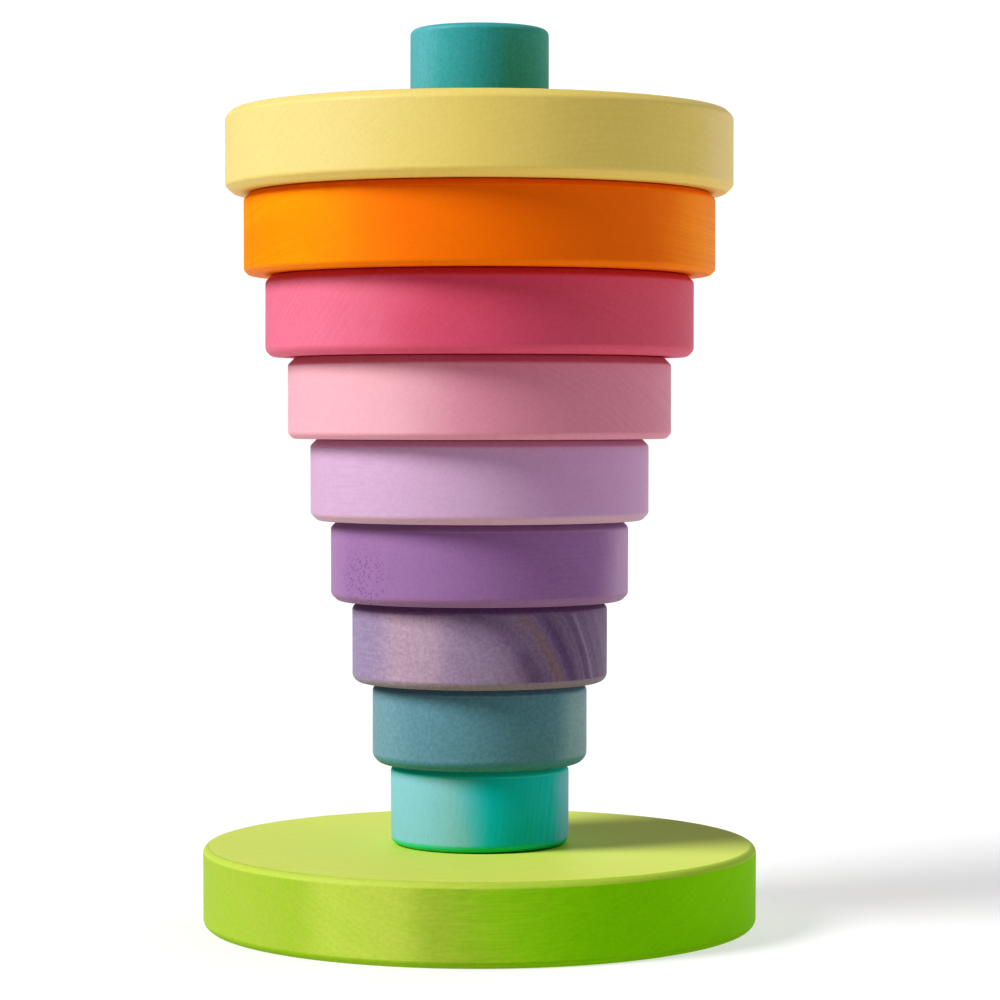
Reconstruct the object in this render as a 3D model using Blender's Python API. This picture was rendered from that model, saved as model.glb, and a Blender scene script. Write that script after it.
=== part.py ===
"""Conical stacking tower for a toddler, stacked with its widest ring uppermost.

Nine flat turned rings and a small cap lift on and off a dowel post that is glued into a round base.
Metres, +Z up. The origin is on the post's axis, at the underside of the base.
"""

import math

import bmesh
import bpy
from mathutils import Color

# Base disc, with the blind socket that the post is glued into
BASE_DIAMETER = 0.1300
BASE_THICKNESS = 0.0186
SOCKET_FLOOR = 0.0060        # wood left under the socket
GLUE_GAP = 0.0003            # between the post and the socket, all round and underneath

# Post: a plain dowel with a rounded upper end
POST_DIAMETER = 0.0160
POST_END_ROUNDING = 0.0035
POST_FOOT_CHAMFER = 0.0010

# Rings, in the order they stand on the base, all cut from one thickness of board
RING_THICKNESS = 0.0188
MINT_DIAMETER = 0.0420
BLUE_DIAMETER = 0.0505
HEATHER_DIAMETER = 0.0600
PURPLE_DIAMETER = 0.0700
LILAC_DIAMETER = 0.0795
PINK_DIAMETER = 0.0900
RASPBERRY_DIAMETER = 0.1005
ORANGE_DIAMETER = 0.1105
YELLOW_DIAMETER = 0.1190

# Cap, bored from below to drop over the post's end
CAP_DIAMETER = 0.0325
CAP_HEIGHT = 0.0190
CAP_CROWN = 0.0065           # wood left above the bore

# Fits and edges
POST_PLAY = 0.0010           # radial room between the post and the bores that slide on it
POST_END_ROOM = 0.0015       # between the post's end and the end of the cap's bore
SEAT_GAP = 0.0003            # between a piece and the one it stands on
EDGE_CHAMFER = 0.0022        # outer edges, top and bottom
BORE_CHAMFER = 0.0008        # mouths of the bores

# Fineness of the turned shapes
FACETS = 64
ROUNDING_STEPS = 4
QUARTER_TURN = math.pi / 2
SMOOTH_ANGLE = math.radians(30.0)
MERGE_DISTANCE = 0.000001

# Stains, as red, green and blue on a display, where white is 255
DISPLAY_WHITE = 255
LIME = (160, 204, 40)
MINT = (95, 195, 175)
BLUE = (90, 140, 150)
HEATHER = (150, 125, 155)
PURPLE = (155, 105, 165)
LILAC = (205, 165, 205)
PINK = (235, 160, 180)
RASPBERRY = (220, 85, 120)
ORANGE = (250, 130, 5)
YELLOW = (240, 215, 115)
TEAL = (55, 150, 145)
BARE_WOOD = (222, 190, 150)
STAIN_ROUGHNESS = 0.70
BARE_ROUGHNESS = 0.60

# Sizes that follow from the ones above
POST_RADIUS = POST_DIAMETER / 2
BORE_RADIUS = POST_RADIUS + POST_PLAY
CAP_BORE_DEPTH = CAP_HEIGHT - CAP_CROWN

RINGS = (
    ("ring_mint", MINT_DIAMETER, MINT),
    ("ring_blue", BLUE_DIAMETER, BLUE),
    ("ring_heather", HEATHER_DIAMETER, HEATHER),
    ("ring_purple", PURPLE_DIAMETER, PURPLE),
    ("ring_lilac", LILAC_DIAMETER, LILAC),
    ("ring_pink", PINK_DIAMETER, PINK),
    ("ring_raspberry", RASPBERRY_DIAMETER, RASPBERRY),
    ("ring_orange", ORANGE_DIAMETER, ORANGE),
    ("ring_yellow", YELLOW_DIAMETER, YELLOW),
)


def wood_finish(name, stain, roughness):
    """A matte wood material in one stain."""
    colour = Color([channel / DISPLAY_WHITE for channel in stain]).from_srgb_to_scene_linear()
    material = bpy.data.materials.new(name)
    material.use_nodes = True
    shader = material.node_tree.nodes["Principled BSDF"]
    shader.inputs["Base Color"].default_value = [*colour, 1.0]
    shader.inputs["Roughness"].default_value = roughness
    shader.inputs["Metallic"].default_value = 0.0
    return material


def turned_piece(name, outline, closed, material):
    """A solid turned about Z from an outline of (radius, height) points.

    A closed outline makes a ring. An open one starts and ends on the axis.
    """
    form = bmesh.new()
    points = [form.verts.new((radius, 0.0, height)) for radius, height in outline]
    followers = points[1:] + points[:1] if closed else points[1:]
    edges = [form.edges.new(pair) for pair in zip(points, followers)]
    bmesh.ops.spin(
        form,
        geom=points + edges,
        cent=(0.0, 0.0, 0.0),
        axis=(0.0, 0.0, 1.0),
        angle=math.tau,
        steps=FACETS,
        use_merge=True,
    )
    bmesh.ops.remove_doubles(form, verts=form.verts, dist=MERGE_DISTANCE)
    bmesh.ops.recalc_face_normals(form, faces=form.faces)
    mesh = bpy.data.meshes.new(name)
    form.to_mesh(mesh)
    form.free()
    mesh.shade_smooth()
    mesh.set_sharp_from_angle(angle=SMOOTH_ANGLE)
    mesh.materials.append(material)
    piece = bpy.data.objects.new(name, mesh)
    bpy.context.scene.collection.objects.link(piece)
    return piece


def chamfered_side(radius, thickness):
    """The outside of a disc from its upper face to its lower one, with both edges chamfered."""
    return [
        (radius - EDGE_CHAMFER, thickness),
        (radius, thickness - EDGE_CHAMFER),
        (radius, EDGE_CHAMFER),
        (radius - EDGE_CHAMFER, 0.0),
    ]


def base_outline():
    socket_radius = POST_RADIUS + GLUE_GAP
    socket = [(0.0, SOCKET_FLOOR), (socket_radius, SOCKET_FLOOR), (socket_radius, BASE_THICKNESS)]
    return socket + chamfered_side(BASE_DIAMETER / 2, BASE_THICKNESS) + [(0.0, 0.0)]


def post_outline(length):
    rounded_end = []
    for step in range(ROUNDING_STEPS + 1):
        angle = QUARTER_TURN * (1 - step / ROUNDING_STEPS)
        radius = POST_RADIUS - POST_END_ROUNDING * (1 - math.cos(angle))
        height = length - POST_END_ROUNDING * (1 - math.sin(angle))
        rounded_end.append((radius, height))
    foot = [(POST_RADIUS, POST_FOOT_CHAMFER), (POST_RADIUS - POST_FOOT_CHAMFER, 0.0), (0.0, 0.0)]
    return [(0.0, length)] + rounded_end + foot


def ring_outline(diameter):
    bore = [
        (BORE_RADIUS + BORE_CHAMFER, 0.0),
        (BORE_RADIUS, BORE_CHAMFER),
        (BORE_RADIUS, RING_THICKNESS - BORE_CHAMFER),
        (BORE_RADIUS + BORE_CHAMFER, RING_THICKNESS),
    ]
    return chamfered_side(diameter / 2, RING_THICKNESS) + bore


def cap_outline():
    blind_bore = [
        (BORE_RADIUS + BORE_CHAMFER, 0.0),
        (BORE_RADIUS, BORE_CHAMFER),
        (BORE_RADIUS, CAP_BORE_DEPTH),
        (0.0, CAP_BORE_DEPTH),
    ]
    return [(0.0, CAP_HEIGHT)] + chamfered_side(CAP_DIAMETER / 2, CAP_HEIGHT) + blind_bore


def stand_on(piece, carrier, carrier_thickness):
    """Seats a piece on its carrier, so that lifting one lifts all that stands on it."""
    piece.parent = carrier
    piece.location = (0.0, 0.0, carrier_thickness + SEAT_GAP)


for leftover in list(bpy.data.objects):
    bpy.data.objects.remove(leftover)

# Base
base = turned_piece("base_plate", base_outline(), False, wood_finish("stain_lime", LIME, STAIN_ROUGHNESS))

# Post, from the floor of its socket up into the cap's bore
cap_seat = BASE_THICKNESS + SEAT_GAP + len(RINGS) * (RING_THICKNESS + SEAT_GAP)
post_foot = SOCKET_FLOOR + GLUE_GAP
post_end = cap_seat + CAP_BORE_DEPTH - POST_END_ROOM
bare_wood = wood_finish("bare_wood", BARE_WOOD, BARE_ROUGHNESS)
post = turned_piece("center_post", post_outline(post_end - post_foot), False, bare_wood)
post.parent = base
post.location = (0.0, 0.0, post_foot)

# Rings, each standing on the one before
carrier = base
carrier_thickness = BASE_THICKNESS
for name, diameter, stain in RINGS:
    finish = wood_finish(name.replace("ring", "stain"), stain, STAIN_ROUGHNESS)
    ring = turned_piece(name, ring_outline(diameter), True, finish)
    stand_on(ring, carrier, carrier_thickness)
    carrier = ring
    carrier_thickness = RING_THICKNESS

# Cap
cap = turned_piece("top_cap", cap_outline(), False, wood_finish("stain_teal", TEAL, STAIN_ROUGHNESS))
stand_on(cap, carrier, carrier_thickness)
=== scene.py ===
import math

import bpy
from mathutils import Color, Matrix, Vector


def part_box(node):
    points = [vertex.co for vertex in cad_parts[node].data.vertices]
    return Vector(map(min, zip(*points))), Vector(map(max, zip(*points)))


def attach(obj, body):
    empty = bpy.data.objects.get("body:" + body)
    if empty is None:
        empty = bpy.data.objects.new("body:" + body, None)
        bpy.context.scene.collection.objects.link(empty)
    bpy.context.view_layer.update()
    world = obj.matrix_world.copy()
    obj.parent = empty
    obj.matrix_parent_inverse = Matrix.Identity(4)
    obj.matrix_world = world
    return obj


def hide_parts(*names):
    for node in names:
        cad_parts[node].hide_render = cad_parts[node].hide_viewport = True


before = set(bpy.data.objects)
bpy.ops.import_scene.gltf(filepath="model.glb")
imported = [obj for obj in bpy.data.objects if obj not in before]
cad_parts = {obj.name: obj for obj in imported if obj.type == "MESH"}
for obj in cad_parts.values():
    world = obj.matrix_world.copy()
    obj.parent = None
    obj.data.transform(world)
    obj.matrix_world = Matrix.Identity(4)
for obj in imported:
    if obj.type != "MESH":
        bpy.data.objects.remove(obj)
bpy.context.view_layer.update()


# Base plate
# A round of close-grained hardwood sawn from one dressed board and stained lime green.
# Its rims are eased by hand, and a blind socket in its upper face takes the glued post.

SQUARE, TOP_RIM, LOWER_RIM, BORE_RIM = range(4)
TURNING_CIRCLE = 0.1
FACETS = 224
EASING_STEPS = 5
SANDING_PATCH = 0.009
JOIN_DISTANCE = 0.000005


def add_node(tree, kind, feeds=None, **settings):
    """Add one node, set its options, and wire or fill its sockets by name."""
    node = tree.nodes.new(kind)
    for option, value in settings.items():
        setattr(node, option, value)
    for socket, feed in (feeds or {}).items():
        if isinstance(feed, bpy.types.NodeSocket):
            tree.links.new(feed, node.inputs[socket])
        else:
            node.inputs[socket].default_value = feed
    return node


def build_lathe():
    """Tree that chamfers and eases the rims of an outline and turns it about the post's axis."""
    tree = bpy.data.node_groups.new("turning_lathe", "GeometryNodeTree")
    tree.interface.new_socket("Outline", in_out="INPUT", socket_type="NodeSocketGeometry")
    rims = ("Top", "Lower", "Bore")
    for size in [f"{rim} {cut}" for rim in rims for cut in ("Chamfer", "Easing")] + ["Sanding Depth"]:
        tree.interface.new_socket(size, in_out="INPUT", socket_type="NodeSocketFloat")
    tree.interface.new_socket("Seed", in_out="INPUT", socket_type="NodeSocketFloat")
    tree.interface.new_socket("Finish", in_out="INPUT", socket_type="NodeSocketMaterial")
    tree.interface.new_socket("Piece", in_out="OUTPUT", socket_type="NodeSocketGeometry")
    given = add_node(tree, "NodeGroupInput").outputs
    corner_rim = add_node(tree, "GeometryNodeInputNamedAttribute", {"Name": "rim"}, data_type="INT")

    def rim_size(cut):
        """Size of one kind of cut at each corner, picked by the rim that the corner lies on."""
        choice = add_node(tree, "GeometryNodeIndexSwitch", data_type="FLOAT")
        while len(choice.index_switch_items) <= len(rims):
            choice.index_switch_items.new()
        tree.links.new(corner_rim.outputs["Attribute"], choice.inputs["Index"])
        for place, rim in enumerate(rims, start=TOP_RIM):
            tree.links.new(given[f"{rim} {cut}"], choice.inputs[str(place)])
        return choice.outputs["Output"]

    outline = add_node(tree, "GeometryNodeMeshToCurve", {"Mesh": given["Outline"]})
    chamfered = add_node(
        tree, "GeometryNodeFilletCurve",
        {"Curve": outline.outputs["Curve"], "Radius": rim_size("Chamfer"), "Count": 1}, mode="POLY")
    eased = add_node(
        tree, "GeometryNodeFilletCurve",
        {"Curve": chamfered.outputs["Curve"], "Radius": rim_size("Easing"), "Count": EASING_STEPS},
        mode="POLY")
    path = add_node(
        tree, "GeometryNodeCurvePrimitiveCircle", {"Resolution": FACETS, "Radius": TURNING_CIRCLE})
    turned = add_node(
        tree, "GeometryNodeCurveToMesh",
        {"Curve": path.outputs["Curve"], "Profile Curve": eased.outputs["Curve"]})
    joined = add_node(
        tree, "GeometryNodeMergeByDistance",
        {"Geometry": turned.outputs["Mesh"], "Distance": JOIN_DISTANCE})
    unevenness = add_node(
        tree, "ShaderNodeTexNoise", {"W": given["Seed"], "Scale": 1 / SANDING_PATCH, "Detail": 1.0},
        noise_dimensions="4D")
    swing = add_node(
        tree, "ShaderNodeMapRange",
        {"Value": unevenness.outputs["Fac"], "From Min": 0.25, "From Max": 0.75,
         "To Min": -1.0, "To Max": 0.0})
    depth = add_node(
        tree, "ShaderNodeMath",
        {0: swing.outputs["Result"], 1: given["Sanding Depth"]}, operation="MULTIPLY")
    facing = add_node(tree, "GeometryNodeInputNormal").outputs["Normal"]
    outward = add_node(tree, "ShaderNodeVectorMath", {0: facing, 1: (1, 1, 0)}, operation="MULTIPLY")
    push = add_node(
        tree, "ShaderNodeVectorMath",
        {0: outward.outputs["Vector"], "Scale": depth.outputs["Value"]}, operation="SCALE")
    sanded = add_node(
        tree, "GeometryNodeSetPosition",
        {"Geometry": joined.outputs["Geometry"], "Offset": push.outputs["Vector"]})
    smooth = add_node(tree, "GeometryNodeSetShadeSmooth", {"Geometry": sanded.outputs["Geometry"]})
    realized = add_node(tree, "GeometryNodeRealizeInstances", {"Geometry": smooth.outputs["Geometry"]})
    finished = add_node(
        tree, "GeometryNodeSetMaterial",
        {"Geometry": realized.outputs["Geometry"], "Material": given["Finish"]})
    add_node(tree, "NodeGroupOutput", {"Piece": finished.outputs["Geometry"]})
    return tree


lathe = build_lathe()


def turn_piece(name, corners, closed, settings):
    """Turn an outline of (radius, height, rim) corners and return the finished piece as a plain mesh."""
    outline = bpy.data.meshes.new(f"{name}_outline")
    runs = [(corner, corner + 1) for corner in range(len(corners) - 1)]
    if closed:
        runs.append((len(corners) - 1, 0))
    outline.from_pydata([(radius - TURNING_CIRCLE, -height, 0) for radius, height, _ in corners], runs, [])
    rims = outline.attributes.new("rim", "INT", "POINT")
    rims.data.foreach_set("value", [rim for _, _, rim in corners])
    piece = bpy.data.objects.new(name, outline)
    bpy.context.scene.collection.objects.link(piece)
    turning = piece.modifiers.new("turning", "NODES")
    turning.node_group = lathe
    for socket in lathe.interface.items_tree:
        if socket.name in settings:
            turning[socket.identifier] = settings[socket.name]
    shading = piece.modifiers.new("flat_faces_stay_flat", "WEIGHTED_NORMAL")
    shading.weight = 100
    depsgraph = bpy.context.evaluated_depsgraph_get()
    mesh = bpy.data.meshes.new_from_object(
        piece.evaluated_get(depsgraph), preserve_all_data_layers=True, depsgraph=depsgraph)
    mesh.name = name
    piece.modifiers.clear()
    piece.data = mesh
    bpy.data.meshes.remove(outline)
    return piece


# Fibres, fine speckle, and the drift and blotches of the stain
FIBRE_LENGTH = 0.012
FIBRE_WIDTH = 0.0006
END_GRAIN_FADING = 0.9
SPECKLE_SIZE = 0.0008
TEXTURE_TONES = ((0.25, 0.0), (0.75, 1.0))
CLOUD_SIZE = 0.028
CLOUD_EDGES = (0.36, 0.68)
PATCH_EDGES = (1.2, 0.4)
PATCH_RAGGEDNESS = 0.7
# Growth rings and dark streaks about the pith of the trunk
TRUNK_WANDER = (0.088, 0.022, 0.022)
TRUNK_SWAY = 0.0025
SEASON_LENGTH = 2.5
SEASON_SHIFT = 2.0
BAND_TONES = ((0.0, 0.5), (0.2, 0.0), (0.7, 1.0), (1.0, 0.5))
LINE_TONES = ((0.0, 0.5), (0.2, 0.0), (0.8, 1.0), (1.0, 0.5))
LINES_PER_BAND = 4.3
BROKEN_EDGES = (0.35, 0.6)
FAINTEST_LINES = 0.35
HEART_CORE = 0.75
HEART_SHELL = 1.15
HEART_EDGE = 0.002
FAINT_HEART = 0.15
STREAK_FEATHER = 0.0016
STREAK_CORE = 0.1
# Flat faces and rims, told apart by how far the surface tilts upward; painted sheen, shade and bounce
# light go on them
FLAT_SLOPES = (0.95, 1.0)
TOP_RIM_SLOPES = ((0.08, 0.0), (0.28, 1.0), (0.92, 1.0), (0.99, 0.0))
LOW_RIM_SLOPES = ((0.08, 0.0), (0.28, 1.0))
# Open pores, raised grain and sheen
PORE_SPACING = 0.0009
PORE_LENGTH = 0.004
PORE_EDGES = (0.5, 0.1)
PORE_THINNING = 0.55
GRAIN_RELIEF = 0.00012
RELIEF_STRENGTH = 0.15
ROUGHNESS_EDGES = (0.2, 0.8)
SANDED_ROUGHNESS = (0.46, 0.62)


def display_colour(red, green, blue):
    """Scene-linear colour of a stain that is given on the display's scale from 0 to 255."""
    return (*Color((red / 255, green / 255, blue / 255)).from_srgb_to_scene_linear(), 1.0)


def stained_wood(name, stain, late, pale, top_rim_wear_and_painted_light, low_rim_wear_and_painted_light, pith, turn, rise, ring_width, figure, fibre,
                 lines=0.4, heart=0.0, evened=0.0, speckle=0.05, clouds=0.1, painted_flat_sheen=0.45, gloss=0.28,
                 stain_and_painted_light_patches=(), streaks=(), pores=None):
    """Water stain on close-grained wood, with growth rings about the pith, fibres and rubbed rims; the rim
    tones also paint shade and bounce light, the flat faces a painted sheen, and the patches partly the lit
    and shaded sides.
    """
    finish = bpy.data.materials.new(name)
    finish.use_nodes = True
    tree = finish.node_tree
    tree.nodes.clear()

    def combined(operation, first, second, output="Vector"):
        step = add_node(tree, "ShaderNodeVectorMath", {0: first, 1: second}, operation=operation)
        return step.outputs[output]

    def length(vector):
        return add_node(tree, "ShaderNodeVectorMath", {0: vector}, operation="LENGTH").outputs["Value"]

    def reckoned(operation, *values):
        step = add_node(tree, "ShaderNodeMath", dict(enumerate(values)), operation=operation)
        return step.outputs["Value"]

    def spread(value, low, high, start=0.0, end=1.0):
        ranged = add_node(
            tree, "ShaderNodeMapRange",
            {"Value": value, "From Min": low, "From Max": high, "To Min": start, "To Max": end},
            interpolation_type="SMOOTHSTEP")
        return ranged.outputs["Result"]

    def ramped(value, stops):
        ramp = add_node(tree, "ShaderNodeValToRGB", {"Fac": value})
        ramp.color_ramp.interpolation = "EASE"
        steps = ramp.color_ramp.elements
        while len(steps) < len(stops):
            steps.new(1.0)
        for step, (position, level) in zip(steps, stops):
            step.position = position
            step.color = (level, level, level, 1.0)
        return ramp.outputs["Color"]

    def noise(vector, detail, roughness):
        clouded = add_node(
            tree, "ShaderNodeTexNoise",
            {"Vector": vector, "Scale": 1.0, "Detail": detail, "Roughness": roughness})
        return clouded.outputs["Fac"]

    def tinted(amount, under, over, blend="MIX"):
        mix = add_node(tree, "ShaderNodeMix", data_type="RGBA", blend_type=blend)
        for socket, feed in zip((mix.inputs[0], mix.inputs[6], mix.inputs[7]), (amount, under, over)):
            if isinstance(feed, bpy.types.NodeSocket):
                tree.links.new(feed, socket)
            else:
                socket.default_value = feed
        return mix.outputs[2]

    place = add_node(tree, "ShaderNodeTexCoord").outputs
    lean = math.radians(rise)
    bearing = math.radians(turn)
    trunk = add_node(
        tree, "ShaderNodeMapping",
        {"Vector": place["Object"], "Location": pith, "Rotation": (0, -lean, bearing)},
        vector_type="TEXTURE").outputs["Vector"]
    fibre_run = (math.cos(lean) * math.cos(bearing), math.cos(lean) * math.sin(bearing), math.sin(lean))
    end_grain = reckoned("ABSOLUTE", combined("DOT_PRODUCT", place["Normal"], fibre_run, "Value"))

    from_pith = length(combined("MULTIPLY", trunk, (0, 1, 1)))
    sway = noise(combined("DIVIDE", trunk, TRUNK_WANDER), detail=2.0, roughness=0.5)
    swayed = reckoned("MULTIPLY_ADD", sway, TRUNK_SWAY, from_pith)
    seasons = add_node(
        tree, "ShaderNodeTexNoise",
        {"W": swayed, "Scale": 1 / (SEASON_LENGTH * ring_width), "Detail": 1.0},
        noise_dimensions="1D").outputs["Fac"]
    years = reckoned("MULTIPLY_ADD", seasons, SEASON_SHIFT, reckoned("DIVIDE", swayed, ring_width))
    bands = ramped(reckoned("FRACT", years), BAND_TONES)
    fine = ramped(reckoned("FRACT", reckoned("MULTIPLY", years, LINES_PER_BAND)), LINE_TONES)
    growth = tinted(lines, bands, fine)
    fibres = noise(
        combined("DIVIDE", trunk, (FIBRE_LENGTH, FIBRE_WIDTH, FIBRE_WIDTH)), detail=3.0, roughness=0.6)
    long_grain = reckoned("MULTIPLY_ADD", end_grain, -END_GRAIN_FADING * fibre, fibre)
    drift = noise(combined("DIVIDE", place["Object"], (CLOUD_SIZE,) * 3), detail=3.0, roughness=0.55)
    speckles = noise(combined("DIVIDE", place["Object"], (SPECKLE_SIZE,) * 3), detail=2.0, roughness=0.6)
    beyond_heart = spread(
        from_pith, HEART_CORE * heart, HEART_SHELL * heart + HEART_EDGE, FAINT_HEART * figure, figure)
    broken = spread(drift, *BROKEN_EDGES, FAINTEST_LINES, 1.0)
    open_grain = reckoned("MULTIPLY_ADD", end_grain, -evened, 1.0)
    shown = reckoned("MULTIPLY", beyond_heart, reckoned("MULTIPLY", broken, open_grain))
    upward = add_node(tree, "ShaderNodeSeparateXYZ", {"Vector": place["Normal"]}).outputs["Z"]
    flat = spread(reckoned("ABSOLUTE", upward), *FLAT_SLOPES, 0.0, painted_flat_sheen)
    upper = ramped(upward, TOP_RIM_SLOPES)
    lower = ramped(reckoned("MULTIPLY", upward, -1.0), LOW_RIM_SLOPES)

    def patch(centre, reach):
        inside = length(combined("DIVIDE", combined("SUBTRACT", place["Object"], centre), reach))
        ragged = reckoned("MULTIPLY_ADD", reckoned("SUBTRACT", drift, 0.5), PATCH_RAGGEDNESS, inside)
        return spread(ragged, *PATCH_EDGES)

    colour = tinted(
        spread(drift, *CLOUD_EDGES, 0.0, clouds), display_colour(*stain), display_colour(*pale))
    # Patches stand partly for stain that differs and partly for painted light: the paler ones on the left,
    # where the lamp falls, paint the paler lit side, those at the right rims paint rim light from the
    # walls, and the darker ones on the right paint shade.
    for tone, amount, centre, reach in stain_and_painted_light_patches:
        colour = tinted(reckoned("MULTIPLY", patch(centre, reach), amount), colour, display_colour(*tone))
    colour = tinted(reckoned("MULTIPLY", growth, shown), colour, display_colour(*late))
    feathered = reckoned("MULTIPLY_ADD", reckoned("SUBTRACT", fibres, 0.5), STREAK_FEATHER, swayed)
    for tone, amount, radius, width in streaks:
        beside = reckoned("ABSOLUTE", reckoned("SUBTRACT", feathered, radius))
        streak = reckoned("MULTIPLY", spread(beside, width, STREAK_CORE * width, 0.0, amount), broken)
        colour = tinted(streak, colour, display_colour(*tone))
    # Flat faces are painted in the pale tone: a painted sheen, standing for the pale reflection of the
    # walls that level faces show at a grazing view.
    colour = tinted(flat, colour, display_colour(*pale))
    # Rim tones are partly stain rubbed thin at the edges and partly painted light: they lift or deepen the
    # shade under each overhang and paint the bounce light that the rims catch from the floor and the ring
    # below.
    for rim, (tone, amount) in ((upper, top_rim_wear_and_painted_light), (lower, low_rim_wear_and_painted_light)):
        colour = tinted(reckoned("MULTIPLY", rim, amount), colour, display_colour(*tone))
    colour = tinted(long_grain, colour, ramped(fibres, TEXTURE_TONES), "SOFT_LIGHT")
    colour = tinted(speckle, colour, ramped(speckles, TEXTURE_TONES), "SOFT_LIGHT")
    relief = fibres
    if pores:
        darkness, centre, reach = pores
        cells = add_node(
            tree, "ShaderNodeTexVoronoi",
            {"Vector": combined("DIVIDE", trunk, (PORE_LENGTH, PORE_SPACING, PORE_SPACING)), "Scale": 1.0})
        thinned = reckoned("MULTIPLY_ADD", patch(centre, (reach,) * 3), -PORE_THINNING, PORE_THINNING)
        holes = spread(reckoned("ADD", cells.outputs["Distance"], thinned), *PORE_EDGES)
        colour = tinted(reckoned("MULTIPLY", holes, darkness), colour, display_colour(*late), "MULTIPLY")
        relief = reckoned("SUBTRACT", fibres, holes)
    bump = add_node(
        tree, "ShaderNodeBump", {"Strength": RELIEF_STRENGTH, "Distance": GRAIN_RELIEF, "Height": relief})
    surface = add_node(
        tree, "ShaderNodeBsdfPrincipled",
        {"Base Color": colour, "Roughness": spread(fibres, *ROUGHNESS_EDGES, *SANDED_ROUGHNESS),
         "Normal": bump.outputs["Normal"], "Specular IOR Level": gloss})
    add_node(tree, "ShaderNodeOutputMaterial", {"Surface": surface.outputs["BSDF"]})
    return finish


SOCKET_RADIUS = 0.0083
SOCKET_FLOOR = 0.0060
SANDING_DEPTH = 0.00012
# The solids leave this much room at every seat.
# Of the two pieces that meet there, one is turned longer to close it.
SEAT_CLOSING = 0.00028
low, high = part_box("base_plate")
base_top = high[2] + SEAT_CLOSING
base_disc = turn_piece(
    "base_disc",
    [(0, SOCKET_FLOOR, SQUARE), (SOCKET_RADIUS, SOCKET_FLOOR, SQUARE), (SOCKET_RADIUS, base_top, BORE_RIM),
     (high[0], base_top, TOP_RIM), (high[0], low[2], LOWER_RIM), (0, low[2], SQUARE)],
    closed=False,
    settings={
        "Top Chamfer": 0.0010, "Top Easing": 0.0016, "Lower Chamfer": 0.0012, "Lower Easing": 0.0017,
        "Bore Chamfer": 0.0004, "Bore Easing": 0.0001, "Sanding Depth": SANDING_DEPTH, "Seed": 1.0,
        "Finish": stained_wood(
            "lime_stained_wood", stain=(142, 205, 12), late=(131, 193, 7), pale=(208, 221, 115),
            # The top rim is painted in a pale tone like the top face, a painted sheen, and kept a little
            # darker to soften the lamp's highlight on it.
            top_rim_wear_and_painted_light=((186, 204, 100), 0.8), low_rim_wear_and_painted_light=((137, 180, 23), 0.6),
            pith=(0.0, 0.012, -0.055), turn=4.0, rise=1.0, ring_width=0.0060,
            # The whole top face is painted in the pale tone, a painted sheen of the walls.
            figure=0.25, fibre=0.12, lines=0.6, clouds=0.05, painted_flat_sheen=1.0, gloss=0.08,
            stain_and_painted_light_patches=[((164, 183, 80), 1.0, (-0.04, 0, 0), (0.06, 1, 1)),
                     ((187, 201, 98), 0.8, (-0.026, 0, 0), (0.0135, 1, 1))])})
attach(base_disc, "base")
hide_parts("base_plate")


# Centre post
# A bare hardwood dowel, glued into the base's socket, that every ring and the cap slide down.
# Its upper end is rounded over so that small hands find the bores easily.

low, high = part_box("center_post")
post_dowel = turn_piece(
    "post_dowel",
    [(0, high[2], SQUARE), (high[0], high[2], TOP_RIM), (high[0], low[2], LOWER_RIM), (0, low[2], SQUARE)],
    closed=False,
    settings={
        "Top Chamfer": 0.0030, "Top Easing": 0.0030, "Lower Chamfer": 0.0010, "Lower Easing": 0.0003,
        "Sanding Depth": SANDING_DEPTH / 2, "Seed": 2.0,
        "Finish": stained_wood(
            "bare_dowel_wood", stain=(222, 190, 150), late=(196, 152, 106), pale=(232, 206, 172),
            top_rim_wear_and_painted_light=((236, 212, 180), 0.3), low_rim_wear_and_painted_light=((236, 212, 180), 0.2),
            pith=(0.02, 0.014, 0.0), turn=0.0, rise=88.0, ring_width=0.0016, figure=0.3, fibre=0.3)})
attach(post_dowel, "base")
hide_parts("center_post")


# Mint ring
# The smallest ring, bored through to drop over the post and stained mint green.
# It is cut across a round bar, so its fibres stand upright and show as pale lines at the right.
# Its left side, where the lamp falls, is painted paler: partly a paler stain, partly the paler look of the
# lit side.

BORE_RADIUS = 0.0090
BORE_CHAMFER = 0.0008
BORE_EASING = 0.0002


def turn_ring(name, node, finish, seed, top_chamfer, top_easing, lower_chamfer, lower_easing,
              raised=0.0, lowered=SEAT_CLOSING):
    """Turn one bored ring to the size of its node, with its own rims and finish, down to its seat."""
    low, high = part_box(node)
    top = high[2] + raised
    seat = low[2] - lowered
    return turn_piece(
        name,
        [(BORE_RADIUS, top, BORE_RIM), (high[0], top, TOP_RIM),
         (high[0], seat, LOWER_RIM), (BORE_RADIUS, seat, BORE_RIM)],
        closed=True,
        settings={
            "Top Chamfer": top_chamfer, "Top Easing": top_easing,
            "Lower Chamfer": lower_chamfer, "Lower Easing": lower_easing,
            "Bore Chamfer": BORE_CHAMFER, "Bore Easing": BORE_EASING,
            "Sanding Depth": SANDING_DEPTH, "Seed": seed, "Finish": finish})


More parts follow.
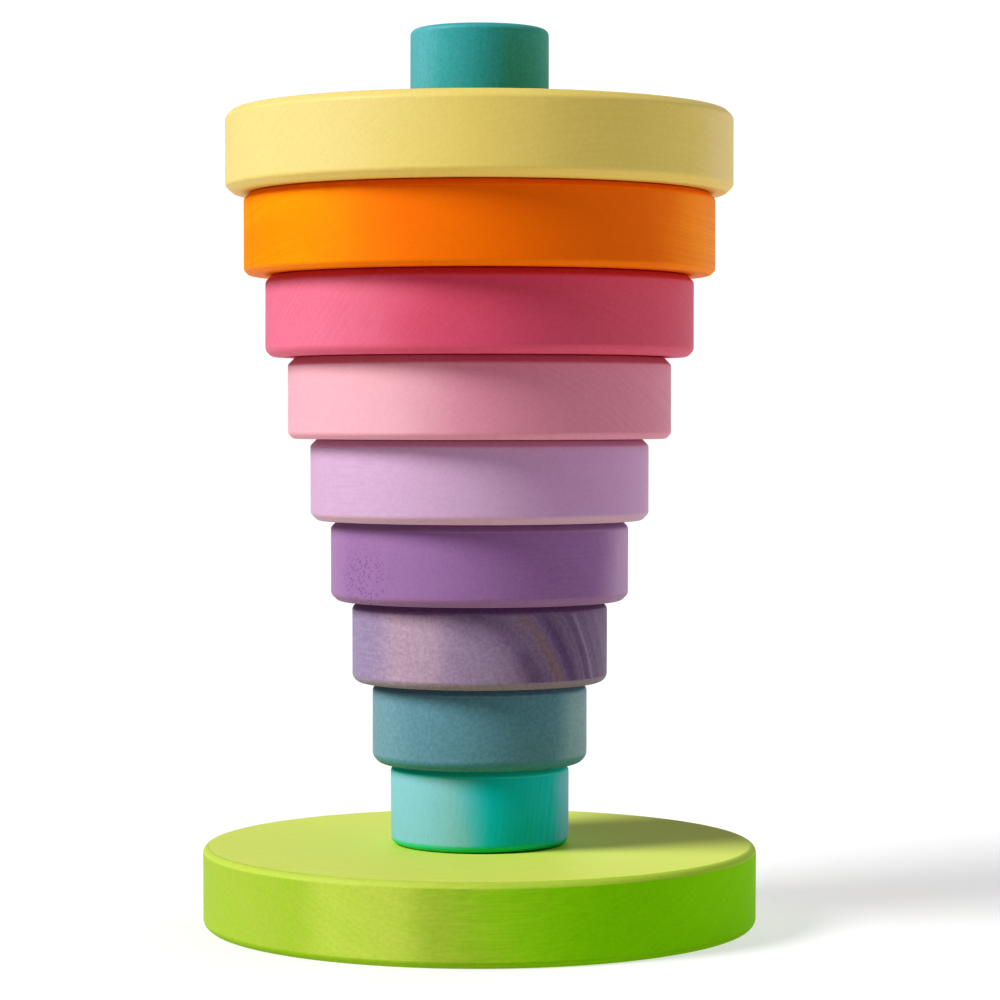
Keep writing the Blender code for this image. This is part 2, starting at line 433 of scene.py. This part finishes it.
mint_ring = turn_ring(
    "mint_ring", "ring_mint",
    stained_wood(
        "mint_stained_wood", stain=(2, 190, 203), late=(122, 199, 214), pale=(139, 183, 200),
        # The lower rim is painted bright green, a painted reflection of the lime base below; the top rim
        # is painted lighter, painted bounce light in the shade under the blue ring.
        top_rim_wear_and_painted_light=((79, 218, 209), 0.9), low_rim_wear_and_painted_light=((64, 208, 156), 0.85),
        pith=(-0.06, -0.02, 0.0), turn=0.0, rise=84.0, ring_width=0.0065,
        figure=0.4, fibre=0.05, lines=0.9, heart=0.075, clouds=0.05,
        stain_and_painted_light_patches=[((137, 188, 199), 1.0, (-0.0116, 0, 0.0195), (0.013, 1, 0.03)),
                 ((137, 188, 201), 1.0, (-0.0225, 0, 0), (0.013, 1, 1)),
                 ((139, 191, 214), 0.9, (0.0225, -0.004, 0), (0.006, 0.018, 1))]),
    seed=3.0, top_chamfer=0.0015, top_easing=0.0013, lower_chamfer=0.0012, lower_easing=0.0020,
    raised=SEAT_CLOSING, lowered=0.0)
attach(mint_ring, "mint")
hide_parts("ring_mint")


# Blue ring
# A bored ring stained a greyed teal blue, finely speckled all over by its short fibres.
# Its lower rim is rounded over further than its upper one.

blue_ring = turn_ring(
    "blue_ring", "ring_blue",
    stained_wood(
        "blue_stained_wood", stain=(105, 142, 156), late=(90, 126, 142), pale=(120, 151, 166),
        # The top rim is painted lighter than the stain, painted bounce light in the deep shade under the
        # heather ring.
        top_rim_wear_and_painted_light=((133, 161, 178), 0.8), low_rim_wear_and_painted_light=((84, 141, 157), 0.6),
        pith=(0.03, 0.0, 0.02), turn=80.0, rise=2.0, ring_width=0.0060,
        figure=0.08, fibre=0.12, lines=0.6, speckle=0.12, clouds=0.16,
        stain_and_painted_light_patches=[((121, 154, 166), 0.8, (-0.025, 0, 0), (0.009, 1, 1)),
                 ((139, 166, 173), 1.0, (0.025, -0.004, 0), (0.0085, 0.024, 1))]),
    seed=4.0, top_chamfer=0.0016, top_easing=0.0013, lower_chamfer=0.0017, lower_easing=0.0024,
    raised=SEAT_CLOSING, lowered=0.0)
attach(blue_ring, "blue")
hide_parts("ring_blue")


# Heather ring
# A bored ring in a thin grey heather stain, which lets the growth rings of the wood show.
# Bands of purple and brown sweep down to the right across its end grain.

heather_ring = turn_ring(
    "heather_ring", "ring_heather",
    stained_wood(
        "heather_stained_wood", stain=(154, 137, 161), late=(107, 85, 120), pale=(174, 152, 167),
        top_rim_wear_and_painted_light=((150, 124, 156), 0.9), low_rim_wear_and_painted_light=((150, 135, 148), 0.9),
        pith=(-0.0287, -0.0185, 0.0464), turn=120.0, rise=2.0, ring_width=0.0070,
        figure=0.5, fibre=0.16, lines=0.4, heart=0.030, speckle=0.14,
        stain_and_painted_light_patches=[((151, 136, 165), 0.8, (-0.03, 0, 0), (0.01, 1, 1)),
                 ((174, 151, 167), 0.9, (-0.015, 0, 0), (0.0085, 1, 1)),
                 ((126, 107, 134), 0.6, (0.026, 0, 0), (0.015, 1, 1))],
        streaks=[((103, 81, 115), 0.75, 0.036, 0.004),
                 ((154, 122, 107), 0.42, 0.0412, 0.0022),
                 ((139, 120, 159), 0.35, 0.0436, 0.001),
                 ((92, 68, 113), 0.6, 0.045, 0.0026),
                 ((92, 70, 111), 0.5, 0.0506, 0.0016),
                 ((159, 139, 165), 0.5, 0.0522, 0.001)]),
    seed=5.0, top_chamfer=0.0016, top_easing=0.0014, lower_chamfer=0.0013, lower_easing=0.0020,
    raised=SEAT_CLOSING, lowered=0.0)
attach(heather_ring, "heather")
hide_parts("ring_heather")


# Purple ring
# A bored ring stained a full purple. Its end grain comes out at the left,
# where a cluster of open pores has drunk more of the stain.

purple_ring = turn_ring(
    "purple_ring", "ring_purple",
    stained_wood(
        "purple_stained_wood", stain=(152, 118, 160), late=(128, 95, 140), pale=(159, 125, 164),
        # The top rim is painted lighter than the stain, painted bounce light in the shade under the lilac
        # ring.
        top_rim_wear_and_painted_light=((171, 143, 178), 0.9), low_rim_wear_and_painted_light=((159, 124, 155), 0.5),
        pith=(0.03, 0.02, 0.03), turn=35.0, rise=2.0, ring_width=0.0060,
        figure=0.04, fibre=0.07,
        # The pale patch at the right edge paints rim light from the walls.
        stain_and_painted_light_patches=[((163, 128, 168), 0.8, (-0.036, 0, 0), (0.006, 1, 1)),
                 ((184, 153, 185), 0.95, (0.038, -0.006, 0), (0.0115, 0.034, 1))],
        pores=(0.38, (-0.0274, -0.0218, 0.0812), 0.0135)),
    seed=6.0, top_chamfer=0.0016, top_easing=0.0013, lower_chamfer=0.0016, lower_easing=0.0016,
    lowered=0.0)
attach(purple_ring, "purple")
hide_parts("ring_purple")


# Lilac ring
# A bored ring in a pale lilac stain, with a wide chamfer on each rim.
# Both rims take a beige tone, partly stain rubbed thin so the wood shows through and partly painted bounce
# light and shade.

lilac_ring = turn_ring(
    "lilac_ring", "ring_lilac",
    stained_wood(
        "lilac_stained_wood", stain=(196, 165, 193), late=(180, 145, 176), pale=(200, 170, 192),
        top_rim_wear_and_painted_light=((208, 170, 193), 0.8), low_rim_wear_and_painted_light=((202, 167, 180), 0.8),
        pith=(0.05, 0.02, 0.04), turn=-50.0, rise=1.0, ring_width=0.0060,
        figure=0.05, fibre=0.1,
        stain_and_painted_light_patches=[((196, 158, 192), 0.9, (0.026, 0, 0), (0.021, 1, 1))]),
    seed=7.0, top_chamfer=0.0016, top_easing=0.0012, lower_chamfer=0.0016, lower_easing=0.0014)
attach(lilac_ring, "lilac")
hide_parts("ring_lilac")


# Pink ring
# A bored ring in a light pink stain, flat sawn from a board that lay over the heart of the tree.
# Fine growth lines run down to the right over its right side.

pink_ring = turn_ring(
    "pink_ring", "ring_pink",
    stained_wood(
        "pink_stained_wood", stain=(212, 147, 164), late=(182, 115, 134), pale=(215, 161, 174),
        top_rim_wear_and_painted_light=((214, 147, 162), 0.3), low_rim_wear_and_painted_light=((219, 155, 168), 0.6),
        pith=(-0.020, 0.0, 0.066), turn=90.0, rise=2.0, ring_width=0.0043,
        figure=0.4, fibre=0.1, lines=0.85, heart=0.072, evened=0.6,
        stain_and_painted_light_patches=[((220, 171, 180), 1.0, (-0.042, 0, 0), (0.04, 1, 1))]),
    seed=8.0, top_chamfer=0.0018, top_easing=0.0010, lower_chamfer=0.0012, lower_easing=0.0013)
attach(pink_ring, "pink")
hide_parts("ring_pink")


# Raspberry ring
# A bored ring in a strong raspberry stain, sawn close to the heart of the tree.
# Its growth lines fan out from below, leaning left and right on either side.

raspberry_ring = turn_ring(
    "raspberry_ring", "ring_raspberry",
    stained_wood(
        "raspberry_stained_wood", stain=(205, 96, 120), late=(179, 68, 95), pale=(212, 107, 128),
        top_rim_wear_and_painted_light=((210, 105, 120), 0.5), low_rim_wear_and_painted_light=((216, 107, 129), 0.6),
        pith=(0.014, 0.0, 0.112), turn=90.0, rise=2.0, ring_width=0.0044,
        figure=0.22, fibre=0.1, lines=0.75, heart=0.034, evened=0.5,
        stain_and_painted_light_patches=[((218, 125, 148), 0.9, (-0.055, 0, 0), (0.04, 1, 1)),
                 ((214, 105, 124), 0.6, (0.036, 0, 0), (0.02, 1, 1))]),
    seed=9.0, top_chamfer=0.0016, top_easing=0.0012, lower_chamfer=0.0015, lower_easing=0.0020)
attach(raspberry_ring, "raspberry")
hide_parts("ring_raspberry")


# Orange ring
# A bored ring in a bright orange stain. Its end grain faces the front,
# and long fibres run as level streaks round its left and right sides.

orange_ring = turn_ring(
    "orange_ring", "ring_orange",
    stained_wood(
        "orange_stained_wood", stain=(233, 123, 6), late=(210, 90, 1), pale=(235, 132, 6),
        top_rim_wear_and_painted_light=((255, 142, 7), 0.7), low_rim_wear_and_painted_light=((239, 136, 9), 0.5),
        pith=(0.02, 0.0, -0.05), turn=90.0, rise=1.0, ring_width=0.0064,
        figure=0.45, fibre=0.1, lines=0.6, evened=1.0,
        # The paler patch at the right edge paints rim light from the walls.
        stain_and_painted_light_patches=[((248, 154, 2), 0.85, (-0.06, 0, 0), (0.04, 1, 1)),
                 ((255, 158, 30), 0.85, (0.0553, -0.018, 0), (0.0165, 0.05, 1))]),
    seed=10.0, top_chamfer=0.0015, top_easing=0.0012, lower_chamfer=0.0011, lower_easing=0.0012)
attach(orange_ring, "orange")
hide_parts("ring_orange")


# Yellow ring
# The widest ring, bored through and stained a pale yellow; its lower rim is painted a little warmer,
# painted shade and orange bounce light from the ring below.
# Faint growth lines rise to the right across its front.

yellow_ring = turn_ring(
    "yellow_ring", "ring_yellow",
    stained_wood(
        "yellow_stained_wood", stain=(225, 204, 124), late=(208, 179, 96), pale=(223, 205, 139),
        top_rim_wear_and_painted_light=((230, 209, 132), 0.5), low_rim_wear_and_painted_light=((228, 201, 119), 0.6),
        pith=(0.03, 0.0, 0.11), turn=90.0, rise=1.0, ring_width=0.0060,
        figure=0.1, fibre=0.12, lines=0.7,
        stain_and_painted_light_patches=[((221, 204, 139), 1.0, (-0.06, 0, 0), (0.05, 1, 1)),
                 ((230, 208, 147), 0.9, (0.059, -0.008, 0), (0.013, 0.05, 1))]),
    seed=11.0, top_chamfer=0.0016, top_easing=0.0014, lower_chamfer=0.0017, lower_easing=0.0013)
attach(yellow_ring, "yellow")
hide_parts("ring_yellow")


# Top cap
# A small knob cut across a round bar and stained teal, rounded over on top.
# A blind bore in its underside slips over the end of the post.

CAP_ROOF = 0.0065
low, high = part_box("top_cap")
cap_seat = low[2] - SEAT_CLOSING
cap_roof = high[2] - CAP_ROOF
cap_knob = turn_piece(
    "cap_knob",
    [(0, high[2], SQUARE), (high[0], high[2], TOP_RIM), (high[0], cap_seat, LOWER_RIM),
     (BORE_RADIUS, cap_seat, BORE_RIM), (BORE_RADIUS, cap_roof, SQUARE), (0, cap_roof, SQUARE)],
    closed=False,
    settings={
        "Top Chamfer": 0.0009, "Top Easing": 0.00135, "Lower Chamfer": 0.0005, "Lower Easing": 0.0004,
        "Bore Chamfer": BORE_CHAMFER, "Bore Easing": BORE_EASING, "Sanding Depth": 0.00010, "Seed": 12.0,
        "Finish": stained_wood(
            "teal_stained_wood", stain=(75, 163, 169), late=(58, 148, 149), pale=(89, 167, 173),
            top_rim_wear_and_painted_light=((99, 174, 178), 0.3), low_rim_wear_and_painted_light=((79, 165, 169), 0.3),
            pith=(0.03, 0.04, 0.0), turn=0.0, rise=86.0, ring_width=0.0060,
            figure=0.04, fibre=0.06, lines=0.6, speckle=0.1,
            stain_and_painted_light_patches=[((107, 176, 186), 0.9, (-0.0165, 0, 0), (0.0075, 1, 1)),
                     ((81, 163, 154), 1.0, (0.012, 0, 0), (0.009, 1, 1))])})
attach(cap_knob, "cap")
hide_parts("top_cap")


# Studio floor
# A wide, level sheet of matt translucent white board, lit from below, that the tower stands on.
# It is unmarked, and throws light up on to the undersides of the rings.

FLOOR_RADIUS = 6.0
FLOOR_SIDES = 96
BOARD_TOOTH = 0.025
BOARD_GREY = (0.4, 0.4, 0.4, 1.0)
BOARD_GLOW = 0.6
WHITE = (1.0, 1.0, 1.0, 1.0)
floor_turns = [math.tau * side / FLOOR_SIDES for side in range(FLOOR_SIDES)]
floor_edge = [(FLOOR_RADIUS * math.cos(turn), FLOOR_RADIUS * math.sin(turn), 0) for turn in floor_turns]
floor_mesh = bpy.data.meshes.new("studio_floor")
floor_mesh.from_pydata(floor_edge, [], [range(FLOOR_SIDES)])
studio_floor = bpy.data.objects.new("studio_floor", floor_mesh)
bpy.context.scene.collection.objects.link(studio_floor)
white_board = bpy.data.materials.new("matt_white_board")
white_board.use_nodes = True
board = white_board.node_tree
board_place = add_node(board, "ShaderNodeTexCoord").outputs["Object"]
board_tooth = add_node(
    board, "ShaderNodeTexNoise", {"Vector": board_place, "Scale": 1 / BOARD_TOOTH, "Detail": 2.0})
board_shade = add_node(
    board, "ShaderNodeMapRange",
    {"Value": board_tooth.outputs["Fac"], "To Min": 0.78, "To Max": 0.9})
board_surface = board.nodes["Principled BSDF"]
board_surface.inputs["Base Color"].default_value = BOARD_GREY
board_surface.inputs["Emission Color"].default_value = WHITE
board_surface.inputs["Emission Strength"].default_value = BOARD_GLOW
board_surface.inputs["Specular IOR Level"].default_value = 0.1
board.links.new(board_shade.outputs["Result"], board_surface.inputs["Roughness"])
floor_mesh.materials.append(white_board)


# Studio light
# One soft lamp shines from the front left, about forty degrees up.
# Pale walls behind and at the right fill the shade, and the room in front is dark.

LAMP_AZIMUTH = math.radians(65)
LAMP_ELEVATION = math.radians(39)
LAMP_WIDTH = math.radians(24)
LAMP_STRENGTH = 3.9
WALL_SIDE = math.radians(58)
WALL_RISE = math.radians(10)
WALL_EDGE = -0.2
WALL_CORE = 0.75
WALL_LIGHT = 1.04
FRONT_ROOM = 0.017
CEILING_EDGE = 0.6
CEILING_CORE = 0.98
CEILING = 0.083
BACKDROP_LIGHT = 1.05
TONE_TOE = 0.2
TONE_LEVELS = (0.025, 0.06, 0.12, 0.22, 0.4, 0.65)
ALL_CHANNELS = 3
lamp = bpy.data.lights.new("soft_lamp", "SUN")
lamp.energy = LAMP_STRENGTH
lamp.angle = LAMP_WIDTH
soft_lamp = bpy.data.objects.new("soft_lamp", lamp)
soft_lamp.rotation_euler = (math.pi / 2 - LAMP_ELEVATION, 0, -LAMP_AZIMUTH)
bpy.context.scene.collection.objects.link(soft_lamp)

room = bpy.data.worlds.new("pale_studio")
room.use_nodes = True
walls = room.node_tree
walls.nodes.clear()
toward = add_node(walls, "ShaderNodeTexCoord").outputs["Generated"]
wall_middle = (
    math.sin(WALL_SIDE) * math.cos(WALL_RISE),
    math.cos(WALL_SIDE) * math.cos(WALL_RISE),
    math.sin(WALL_RISE))
to_wall = add_node(walls, "ShaderNodeVectorMath", {0: toward, 1: wall_middle}, operation="DOT_PRODUCT")
to_ceiling = add_node(walls, "ShaderNodeSeparateXYZ", {"Vector": toward}).outputs["Z"]
back_level = add_node(
    walls, "ShaderNodeMapRange",
    {"Value": to_wall.outputs["Value"], "From Min": WALL_EDGE, "From Max": WALL_CORE,
     "To Min": FRONT_ROOM, "To Max": WALL_LIGHT},
    interpolation_type="SMOOTHSTEP")
wall_level = add_node(
    walls, "ShaderNodeMapRange",
    {"Value": to_ceiling, "From Min": CEILING_EDGE, "From Max": CEILING_CORE,
     "To Min": back_level.outputs["Result"], "To Max": CEILING},
    interpolation_type="SMOOTHSTEP")
wall_light = add_node(walls, "ShaderNodeBackground", {"Strength": wall_level.outputs["Result"]})
white_view = add_node(walls, "ShaderNodeBackground", {"Strength": BACKDROP_LIGHT})
seen = add_node(walls, "ShaderNodeLightPath").outputs["Is Camera Ray"]
for backing in (wall_light, white_view):
    backing.inputs["Color"].default_value = WHITE
chosen = add_node(walls, "ShaderNodeMixShader", {"Fac": seen})
walls.links.new(wall_light.outputs["Background"], chosen.inputs[1])
walls.links.new(white_view.outputs["Background"], chosen.inputs[2])
add_node(walls, "ShaderNodeOutputWorld", {"Surface": chosen.outputs["Shader"]})
bpy.context.scene.world = room

tone = bpy.context.scene.view_settings
tone.view_transform = "Standard"
tone.use_curve_mapping = True
for level in TONE_LEVELS:
    darkened = (1 + TONE_TOE) * level ** 2 / (level + TONE_TOE)
    tone.curve_mapping.curves[ALL_CHANNELS].points.new(level, darkened)
tone.curve_mapping.update()


# Camera
# Stands three quarters of a metre in front of the tower, a little above its middle.
# It looks slightly down, and just to the right of the post, as the photograph does.

CAMERA_DISTANCE = 0.74838
CAMERA_HEIGHT = 0.11999
LOOK_DOWN = 0.02714
LOOK_RIGHT = 0.00640
LENS_MM = 114.58
lens = bpy.data.cameras.new("photo_camera")
lens.lens = LENS_MM
photo_camera = bpy.data.objects.new("photo_camera", lens)
photo_camera.location = (0, -CAMERA_DISTANCE, CAMERA_HEIGHT)
photo_camera.rotation_euler = (math.pi / 2 - LOOK_DOWN, 0, -LOOK_RIGHT)
bpy.context.scene.collection.objects.link(photo_camera)
bpy.context.scene.camera = photo_camera
